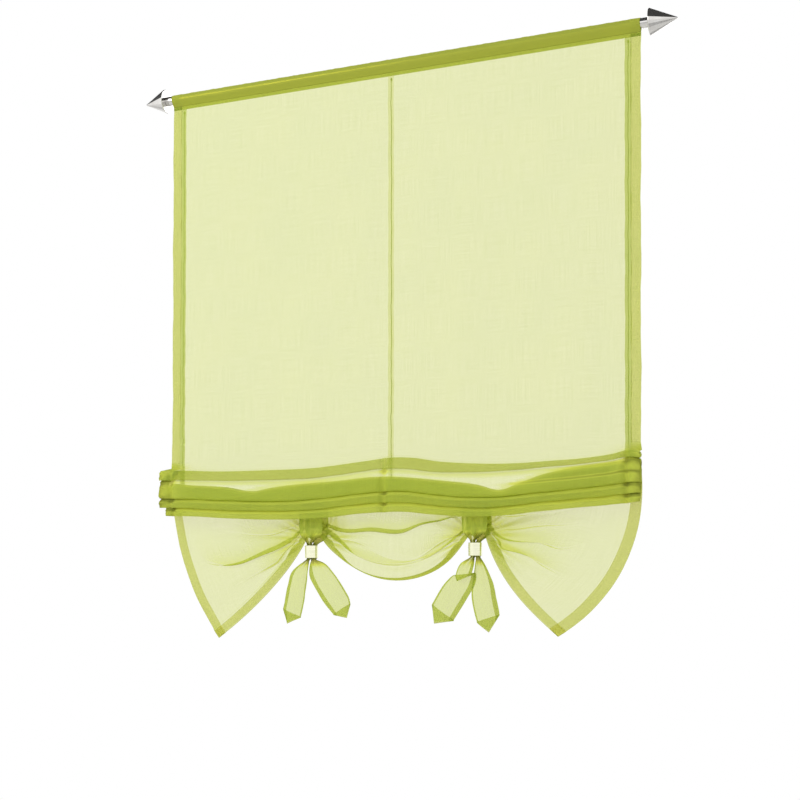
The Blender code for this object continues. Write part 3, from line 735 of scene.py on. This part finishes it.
path = through(stack_rows(shares), ROWS_TO_A_FOLD_SPAN)[:-1]
fold_y, fold_depth = path[..., 0], path[..., 1]
outer = ease(-fold_y, FOLD_DEPTH * 0.5, FOLD_DEPTH * 0.9)
step_down = np.arange(len(path))[:, None]
crumple = CRUMPLE * uneven(step_down * 0.30 + shares * 60, 10) * near_side(shares, 0.014)
bands = 0.0007 * np.sin(fold_depth * 1300 + 2 * uneven(shares * 7, 9)) * outer
pinch = near_tape(shares, 0.010) * 0.0012 * uneven(fold_depth * 700, 10) * outer
last_fold = step_down >= 3 * FOLD_CONTROLS * ROWS_TO_A_FOLD_SPAN
shorter = LAST_FOLD_SHORTER * np.exp(-shares / 0.03) * last_fold * ease(-fold_y, 0, FOLD_DEPTH)
spread_out = fold_y / FOLD_DEPTH * np.where(shares < 0.5, 1, 0.6)
fold_x = drawn_in(shares, 1 + spread_out) + crumple + shorter
tuck_row = (FOLD_CONTROLS + 3) * ROWS_TO_A_FOLD_SPAN
tuck = np.exp(-(((step_down - tuck_row) / 0.6) ** 2)) * ease(shares, 0.70, 0.82)
relieved = bands + pinch + crumple * 0.6 + TUCK_DEPTH * tuck
folds = np.stack([fold_x, fold_y + relieved, -fold_depth], axis=-1)
under_root = ease(fold_depth - STACK_TOP - curve_at(ROOT_LINE, shares), -0.001, 0.003)

valance, valance_hem_row, fold_shade = valance_rows(shares)
main = np.concatenate([pocket, flat_rows, folds, valance])
seam_row = len(pocket)
stack_row = seam_row + len(flat_rows)
valance_row = stack_row + len(folds)
hem_row = valance_row + valance_hem_row
main_flat = laid_flat(main, shares * PANEL_WIDTH)
out = normals_of(main)

# How dense the cloth lies, 0 where it is flat and 1 where it is gathered, with painted shade on
# top: from 1 up to 2 the colour darkens toward black, for the dark seam line and the painted shade
DENSE_WHERE_SLANTED = 0.7
DENSE_TURN_IN = 0.6
POCKET_SHADE = 1.5
DENSE_SEAM = 1.9
DENSE_UNDER_ROOT = 0.5
SHADE_UNDER_FOLD = 0.65
SHADE_AT_PINCH = 0.9
TUCK_SHADE = 1.15
SHADE_AT_TAPE = 0.3
SHADE_AT_SIDE = 0.6
END_SHADE = 0.75
END_SHADE_UNEVENNESS = 0.65
DENSE_TURNED_AWAY = 1.3
DENSE_VALANCE = 0.9
density_and_shade = DENSE_WHERE_SLANTED * gathered(main, main_flat)
# The pocket is painted in shade, darker and fully dense, as the rod behind it keeps light from
# coming through
density_and_shade[:seam_row] = POCKET_SHADE
density_and_shade[: len(turn_in)] = DENSE_TURN_IN
density_and_shade[seam_row - 1 : seam_row + 1] = DENSE_SEAM

# Painted shade: a line under the foot of each fold above, strongest at the tapes' pinches, where it
# darkens the cloth toward black. The cloth under the folds' roots is denser.
below_first = step_down >= FOLD_CONTROLS * ROWS_TO_A_FOLD_SPAN
gathers_and_shade_lines = DENSE_UNDER_ROOT * under_root * below_first
for k in range(1, len(FOLD_BOTTOMS)):
    shoulder_row = (FOLD_CONTROLS * k + 2) * ROWS_TO_A_FOLD_SPAN
    line_under_fold = np.exp(-(((step_down - shoulder_row) / 1.6) ** 2))
    shade_line_strength = SHADE_UNDER_FOLD + SHADE_AT_PINCH * near_tape(shares, PINCH_REACH)
    gathers_and_shade_lines = gathers_and_shade_lines + line_under_fold * shade_line_strength
# Painted shade at the stack's ends, uneven and strongest at the left end, darkens the cloth toward
# black
at_side = near_side(shares, SIDE_SHADE_REACH)
end_shade = at_side * np.where(shares < 0.5, 1.0, 0.55)
stack_density_and_shade = density_and_shade[stack_row:valance_row] * mix(0.25, 1.0, under_root)
stack_density_and_shade = np.maximum(stack_density_and_shade, gathers_and_shade_lines)
# Painted shade along each tape and at the stack's ends
stack_density_and_shade += near_tape(shares, 0.004) * SHADE_AT_TAPE + at_side * SHADE_AT_SIDE
# Painted shade in the tuck on the second fold's front at the right, darkening the cloth toward
# black
stack_density_and_shade += TUCK_SHADE * tuck
uneven_end_shade = END_SHADE_UNEVENNESS * uneven(step_down * 0.55 + shares * 90, 3)
stack_density_and_shade += end_shade * (END_SHADE + uneven_end_shade)
density_and_shade[stack_row:valance_row] = stack_density_and_shade

turned_away = 1 - np.abs(out[valance_row:, :, 1])
valance_density_and_shade = density_and_shade[valance_row:] + fold_shade + DENSE_TURNED_AWAY * turned_away
density_and_shade[valance_row:] = np.minimum(valance_density_and_shade, DENSE_VALANCE)
cloth = {"at": main, "out": out, "flat": main_flat, "density_and_shade": np.clip(density_and_shade, 0, 2)}
lower_hem_rows = len(main) - 1 - hem_row
panel = sew("curtain_panel_voile", hemmed_all_round(cloth, side_hem_columns, lower_hem_rows), voile)
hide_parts("curtain_panel")


# Stitches. Rows of polyester thread in the same green run along the pocket's seam, down both side
# hems and along the lower hem, one short stitch after another.
STITCH_PITCH = 0.0030
STITCH_LENGTH = 0.0022
THREAD_RADIUS = 0.00016
STITCH_START = 0.001
SEAM_COLUMN = 4
THREAD_TONE = (0.34, 0.46, 0.05)
THREAD_DEEP = (0.26, 0.36, 0.03)
thread_green = woven("lime_thread", THREAD_TONE, THREAD_DEEP, None, 1.0, 0.0, 0.0004, 0.4)


def read_at(line, far, way):
    """The point of a line at a way along it, where far holds each of its points' own way."""
    return np.array([np.interp(way, far, line[:, k]) for k in range(3)])


def unit(vector):
    return vector / max(np.linalg.norm(vector), 1e-9)


flat_part = slice(seam_row, stack_row)
seams = (
    (main[seam_row], out[seam_row]),
    (main[flat_part, SEAM_COLUMN], out[flat_part, SEAM_COLUMN]),
    (main[flat_part, -1 - SEAM_COLUMN], out[flat_part, -1 - SEAM_COLUMN]),
    (main[hem_row, 1:-1], out[hem_row, 1:-1]),
)
thread_points, thread_faces = [], []
for line, line_out in seams:
    far = np.concatenate([[0.0], np.cumsum(np.linalg.norm(np.diff(line, axis=0), axis=1))])
    for begin in np.arange(STITCH_START, far[-1] - STITCH_PITCH, STITCH_PITCH):
        first, last = read_at(line, far, begin), read_at(line, far, begin + STITCH_LENGTH)
        face = unit(read_at(line_out, far, begin))
        beside = unit(np.cross(last - first, face))
        around = (beside, face, -beside, -face)
        base = len(thread_points)
        for at, lift, radius in (
            (first, 0.0001, THREAD_RADIUS * 0.3),
            ((first + last) / 2, 0.0003, THREAD_RADIUS),
            (last, 0.0001, THREAD_RADIUS * 0.3),
        ):
            thread_points.extend(at + face * lift + to * radius for to in around)
        for low in (base, base + 4):
            thread_faces.extend(
                (low + k, low + (k + 1) % 4, low + 4 + (k + 1) % 4, low + 4 + k) for k in range(4)
            )
        thread_faces.append((base + 3, base + 2, base + 1, base))
        thread_faces.append((base + 8, base + 9, base + 10, base + 11))
thread_mesh = bpy.data.meshes.new("sewn_stitches")
thread_mesh.from_pydata([tuple(map(float, at)) for at in thread_points], [], thread_faces)
thread_mesh.shade_smooth()
thread_mesh.materials.append(thread_green)
stitches = placed("sewn_stitches", thread_mesh)
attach(stitches, "root")


# Draw tapes. Three narrow pale tapes sewn to the cloth's back from the pocket down past the
# folds, with a cord channel along the middle of each.
TAPE_WIDTH = 0.012
TAPE_BEHIND = 0.0016
TAPE_THICKNESS = 0.0006
TAPE_STEPS = 220
TAPE_COLUMNS = 9
TAPE_TONE = (0.62, 0.70, 0.20)
TAPE_LIGHT = (0.92, 0.88, 0.45)
tape_weave = woven("pale_lime_tape", TAPE_TONE, LIME, TAPE_LIGHT, 0.22, 0.62, 0.0012, 0.5)


def tape_path(flat, depth):
    """The middle of a tape or cord at a depth below the rod, on the cloth's back."""
    share = np.full_like(depth, flat / PANEL_WIDTH + 0.5)
    held = np.minimum(depth / STACK_TOP, 1)
    wander = 0.0008 * uneven(depth * 60, flat * 7)
    gathered_in = ease(depth, STACK_TOP - FOLD_START, STACK_TOP)
    y = mix(hang(share, depth), 0.0016 + 0.0006 * np.sin(depth * 900), gathered_in)
    return np.stack([drawn_in(share, held) + wander, y, -depth], axis=-1)


tape_end = STACK_TOP + 0.048
tape_depths = np.linspace(POCKET_SEAM + 0.006, tape_end, TAPE_STEPS)
tape_places = {"left": -TAPE_EDGE, "centre": 0.0, "right": TAPE_EDGE}
for side, flat in tape_places.items():
    middle = tape_path(flat, tape_depths)
    across = np.linspace(-1, 1, TAPE_COLUMNS)
    raised = 0.0005 * np.exp(-((across / 0.25) ** 2))
    strip = np.repeat(middle[:, None], TAPE_COLUMNS, axis=1)
    strip[..., 0] += across * TAPE_WIDTH / 2
    strip[..., 1] += TAPE_BEHIND - TAPE_THICKNESS + raised
    tape_cloth = {
        "at": strip,
        "flat": laid_flat(strip, across * TAPE_WIDTH / 2),
        "density_and_shade": np.full(strip.shape[:2], 0.9 if flat else 0.1),
    }
    tape = sew(f"{side}_draw_tape_woven", tape_cloth, tape_weave)
    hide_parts(f"{side}_draw_tape")


# Draw cords. A thin braided cord runs down each tape and is knotted at both ends, which holds the
# folds up.
CORD_RADIUS = 0.0007
KNOT_RADIUS = 0.0020
CORD_SIDES = 10
CORD_TONE = (0.44, 0.52, 0.12)
CORD_DEEP = (0.30, 0.37, 0.06)
cord_braid = woven("lime_cord", CORD_TONE, CORD_DEEP, None, 1.0, 0.0, 0.0016, 0.8)

cord_depths = np.linspace(POCKET_SEAM + 0.010, tape_end - 0.006, 260)
knot_places = (cord_depths[0] + 0.003, cord_depths[-1] - 0.003)
knots = sum(np.exp(-(((cord_depths - place) / 0.0022) ** 2)) for place in knot_places)
cord_radii = CORD_RADIUS + (KNOT_RADIUS - CORD_RADIUS) * knots
for side, flat in tape_places.items():
    middle = tape_path(flat, cord_depths)
    middle[:, 1] += TAPE_BEHIND + 0.0004 + cord_radii
    turns_round = np.linspace(0, 2 * np.pi, CORD_SIDES + 1)
    tube = np.repeat(middle[:, None], CORD_SIDES + 1, axis=1)
    tube[..., 0] += cord_radii[:, None] * np.cos(turns_round)
    tube[..., 1] += cord_radii[:, None] * np.sin(turns_round)
    cord_cloth = {
        "at": tube,
        "flat": laid_flat(tube, turns_round * CORD_RADIUS),
        "density_and_shade": np.zeros(tube.shape[:2]),
    }
    cord = sew(f"{side}_draw_cord_braided", cord_cloth, cord_braid)
    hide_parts(f"{side}_draw_cord")


# Ribbons. Each tie is a pair of hemmed voile ribbons, one in front of the cloth and one behind it.
# They are sewn on under the stack, squeezed into pleats in the ring, and their pointed tails hang
# below it.
RIBBON_WIDTH = 0.050
TAIL_BOW = 0.0045
DENSE_RIBBON = 0.3
DENSE_BAND = 0.45
SQUEEZED_SHADE = 1.8
RING_DIAMETER, RING_WALL, RING_HEIGHT = 0.026, 0.0012, 0.025
RING_TOP = TIE_DEPTH + 0.016
RING_BOTTOM = RING_TOP + RING_HEIGHT
RING_FORWARD = 0.014
RIBBON_SEWN = 0.008
RIBBON_BELOW_ROOT = 0.010
SEWN_FROM = 0.862
TIES = {"left": LEFT_TIE_X, "right": RIGHT_TIE_X}
# Each tail's two edges and its tip, as (x beside the ring's middle, drop below the ring), with how
# far each pair stands out from the ring, and the side that its wide hem is on
TAILS = {
    ("left", "front"): (
        (((-0.010, 0.003), (-0.004, 0.004), 0.004), ((-0.026, 0.014), (-0.004, 0.016), 0.008),
         ((-0.041, 0.030), (-0.005, 0.034), 0.012), ((-0.050, 0.058), (-0.009, 0.060), 0.011),
         ((-0.057, 0.084), (-0.014, 0.086), 0.008), ((-0.062, 0.100), (-0.022, 0.116), 0.006)),
        (-0.051, 0.130), -0.6, -1),
    ("left", "back"): (
        (((-0.001, 0.003), (0.010, 0.003), 0.001), ((-0.003, 0.016), (0.032, 0.012), 0.005),
         ((-0.001, 0.038), (0.054, 0.034), 0.009), ((0.014, 0.066), (0.072, 0.060), 0.009),
         ((0.030, 0.090), (0.082, 0.078), 0.007), ((0.048, 0.111), (0.084, 0.090), 0.005)),
        (0.079, 0.118), 0.5, -1),
    ("right", "front"): (
        (((-0.010, 0.003), (-0.001, 0.004), 0.004), ((-0.026, 0.015), (0.001, 0.018), 0.014),
         ((-0.033, 0.036), (-0.001, 0.032), 0.021), ((-0.032, 0.048), (-0.003, 0.037), 0.017),
         ((-0.041, 0.036), (0.003, 0.033), 0.009), ((-0.060, 0.052), (0.001, 0.053), 0.009),
         ((-0.075, 0.073), (-0.013, 0.077), 0.008), ((-0.087, 0.091), (-0.043, 0.121), 0.005)),
        (-0.082, 0.128), -0.6, 1),
    ("right", "back"): (
        (((0.001, 0.003), (0.010, 0.003), 0.001), ((0.000, 0.018), (0.022, 0.020), 0.005),
         ((-0.003, 0.044), (0.036, 0.050), 0.009), ((-0.006, 0.070), (0.042, 0.076), 0.010),
         ((-0.003, 0.098), (0.046, 0.096), 0.008), ((0.003, 0.124), (0.048, 0.110), 0.006)),
        (0.028, 0.144), 0.1, 1),
}
ribbon_voile = woven(
    "lime_ribbon_voile", LIME, LIME_PAINTED_GLOW, LIME_LIGHT, 0.62, 0.38, VOILE_THREAD, VOILE_LIFT
)


def ribbon_stations(tie_x, face, edges):
    """Middle, half width across and pleat depth down a ribbon's way, face -1 before the cloth."""
    half = RIBBON_WIDTH / 2
    sewn = -SEWN_FROM - RIBBON_BELOW_ROOT
    inside = RING_DIAMETER / 2 - RING_WALL
    squeezed, pleat = inside * 0.40, inside * 0.35
    sewn_y = -ROOT_BEND / 2 + face * 0.0012
    proud = face * 0.014 - 0.005
    ring_x = tie_x + face * (squeezed + 0.0003)
    way = [
        (tie_x, sewn_y, sewn + RIBBON_SEWN, half, 0.0),
        (tie_x, sewn_y, sewn, half, 0.0),
        (tie_x, mix(sewn_y, proud, 0.7), sewn - 0.010, half, 0.0),
        (tie_x, proud, sewn - 0.025, half, pleat * 0.1),
        (tie_x, proud, -TIE_DEPTH + 0.010, half * 0.98, pleat * 0.3),
        (mix(tie_x, ring_x, 0.5), proud, -TIE_DEPTH - 0.0026, half * 0.60, pleat * 0.8),
        (ring_x, mix(proud, -RING_FORWARD, 0.6), -RING_TOP + 0.0052, squeezed * 1.2, pleat),
        (ring_x, -RING_FORWARD, -RING_TOP - 0.002, squeezed, pleat),
        (ring_x, -RING_FORWARD, -RING_BOTTOM + 0.001, squeezed, pleat),
    ]
    stations = [(*spot[:3], spot[3], 0.0, spot[4]) for spot in way]
    for number, (left, right, proud_by) in enumerate(edges):
        left, right = np.array(left), np.array(right)
        middle, across = (left + right) / 2, (right - left) / 2
        deep = pleat * max(0.0, 0.8 - 0.5 * number)
        at = (tie_x + middle[0], -RING_FORWARD - proud_by, -RING_BOTTOM - middle[1])
        stations.append((*at, across[0], -across[1], deep))
    return np.array(stations, float)


wide_hem = np.array([0.0, 0.02, 0.10, 0.20, 0.30, 0.36])
narrow_hem = np.array([0.0, 0.02, 0.05, 0.08, 0.10, 0.12])
for (side, layer), (edges, tip, tip_place, hem_side) in TAILS.items():
    tie_x, face = TIES[side], -1 if layer == "front" else 1
    left_hem, right_hem = (wide_hem, narrow_hem) if hem_side < 0 else (narrow_hem, wide_hem)
    inner = np.linspace(left_hem[-1] - 0.98, 0.98 - right_hem[-1], 49)
    columns = np.concatenate([left_hem - 1, inner, (1 - right_hem)[::-1]])
    way = through(ribbon_stations(tie_x, face, edges), 8)
    middle, across, pleat = way[:, :3], way[:, 3:5], way[:, 5]
    grid = np.repeat(middle[:, None], len(columns), axis=1)
    grid[..., 0] += across[:, :1] * columns
    grid[..., 2] += across[:, 1:] * columns
    hanging = ease(-middle[:, 2], RING_BOTTOM, RING_BOTTOM + 0.05)[:, None]
    ripple = 0.25 * uneven(columns * 4 + middle[:, 2:] * 60, face + tie_x * 9)
    bowed = hanging * TAIL_BOW * (columns**2 + ripple)
    grid[..., 1] += pleat[:, None] * np.cos(3 * np.pi * (columns + 1)) + bowed
    before, after = (columns + 1) / (1 + tip_place), (1 - columns) / (1 - tip_place)
    tent = np.clip(np.where(columns < tip_place, before, after), 0, 1)
    last = grid[-1]
    at_tip = np.array([np.interp(tip_place, columns, last[:, k]) for k in range(3)])
    reach = np.array([tie_x + tip[0], at_tip[1], -RING_BOTTOM - tip[1]]) - at_tip
    ends = [last + reach * (0.06 + 0.94 * tent[:, None]) * step / 8 for step in range(1, 9)]
    grid = np.concatenate([grid, ends])
    ribbon_flat = laid_flat(grid, columns * RIBBON_WIDTH / 2)
    height = grid[..., 2]
    squeeze = ease(-height, TIE_DEPTH - 0.012, TIE_DEPTH + 0.004)
    squeeze = squeeze * ease(height + RING_BOTTOM + 0.016, -0.006, 0.012)
    band = DENSE_BAND * ease(height, -TIE_DEPTH - 0.004, -TIE_DEPTH + 0.010)
    # Painted shade: from the tie down to just below the ring the ribbons are darkened toward black,
    # the front ribbon only at its folded-back sides so its middle stays pale
    shaded_sides = ease(np.abs(columns), 0.10, 0.34) if face < 0 else np.ones_like(columns)
    ribbon_density_and_shade = gathered(grid, ribbon_flat) * DENSE_RIBBON + band + SQUEEZED_SHADE * squeeze * shaded_sides
    ribbon_cloth = {
        "at": grid,
        "out": normals_of(grid),
        "flat": ribbon_flat,
        "density_and_shade": np.clip(ribbon_density_and_shade, 0, 2),
    }
    ribbon = sew(f"ribbon_{side}_{layer}_voile", hemmed_all_round(ribbon_cloth, 5, 8), ribbon_voile)
    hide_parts(f"ribbon_{side}_{layer}")


# Rings. Two short sleeves of bright metal, pushed up over each pair of ribbons.
RING_TONE = (0.88, 0.88, 0.66)
RING_SHADE = (0.74, 0.74, 0.54)
RING_GRAIN = (14.0, 14.0, 2200.0)
bright_ring = metal("bright_ring", RING_TONE, RING_SHADE, RING_GRAIN, 0.22, 0.2)
for side in TIES:
    dress(f"ring_{side}", bright_ring)


# Floor and lamps. A pale floor under the curtain, a white surround, and soft light from both
# sides. Bright metal mirrors a room instead: white walls, a dim ceiling and a grey lower part.
FLOOR_DEPTH = 2.0
FLOOR_REACH = 2.6
WALL_WHITE = 1.15
CEILING_DIM = 0.06
LOWER_GREY = 0.35
SOFT_LIGHT = 0.75
WHITE = (1.0, 1.0, 1.0, 1.0)
floor_material, floor_tree, floor_shader = surface("pale_floor", 0.7)
floor_shader.inputs["Base Color"].default_value = (0.86, 0.86, 0.85, 1.0)
floor_mesh = bpy.data.meshes.new("floor")
corners = [
    (x * FLOOR_REACH, y * FLOOR_REACH, -FLOOR_DEPTH)
    for x, y in ((-1, -1), (1, -1), (1, 1), (-1, 1))
]
floor_mesh.from_pydata(corners, [], [(0, 1, 2, 3)])
floor_mesh.materials.append(floor_material)
floor = placed("floor", floor_mesh)

surround = bpy.data.worlds.new("surround")
bpy.context.scene.world = surround
surround.use_nodes = True
sky = surround.node_tree
sky.nodes.clear()
rays = node(sky, "ShaderNodeLightPath")
by_glossy = rays.outputs["Is Glossy Ray"]
mirrored = reckoned(sky, "MAXIMUM", by_glossy, rays.outputs["Is Transmission Ray"])
seen = reckoned(sky, "MAXIMUM", rays.outputs["Is Camera Ray"], mirrored)
soft_light = node(sky, "ShaderNodeBackground", None, Color=WHITE, Strength=SOFT_LIGHT)
toward = node(sky, "ShaderNodeTexCoord").outputs["Generated"]
upward = node(sky, "ShaderNodeSeparateXYZ", None, Vector=toward).outputs["Z"]
ceiling = spread_over(sky, upward, 0.26, 0.48, WALL_WHITE, CEILING_DIM)
lower_part = spread_over(sky, upward, -0.45, -0.15, LOWER_GREY, 1.0)
shown = spread_over(sky, by_glossy, 0.0, 1.0, 1.0, times(sky, ceiling, lower_part))
white = node(sky, "ShaderNodeBackground", None, Color=WHITE, Strength=shown)
either = blended(sky, seen, soft_light, white)
sky.links.new(either, node(sky, "ShaderNodeOutputWorld").inputs["Surface"])


def lamp(name, at, width, power, aim=(0, 0, -0.55)):
    """A large soft lamp aimed at the curtain's middle."""
    light = placed(name, bpy.data.lights.new(name, "AREA"))
    light.data.size = width
    light.data.energy = power
    light.location = at
    light.rotation_euler = (Vector(aim) - Vector(at)).to_track_quat("-Z", "Y").to_euler()


lamp("front_lamp", (-1.8, -2.6, 0.9), 1.6, 38)
lamp("back_lamp", (0.8, 2.4, 0.6), 2.0, 26)

bpy.context.view_layer.update()
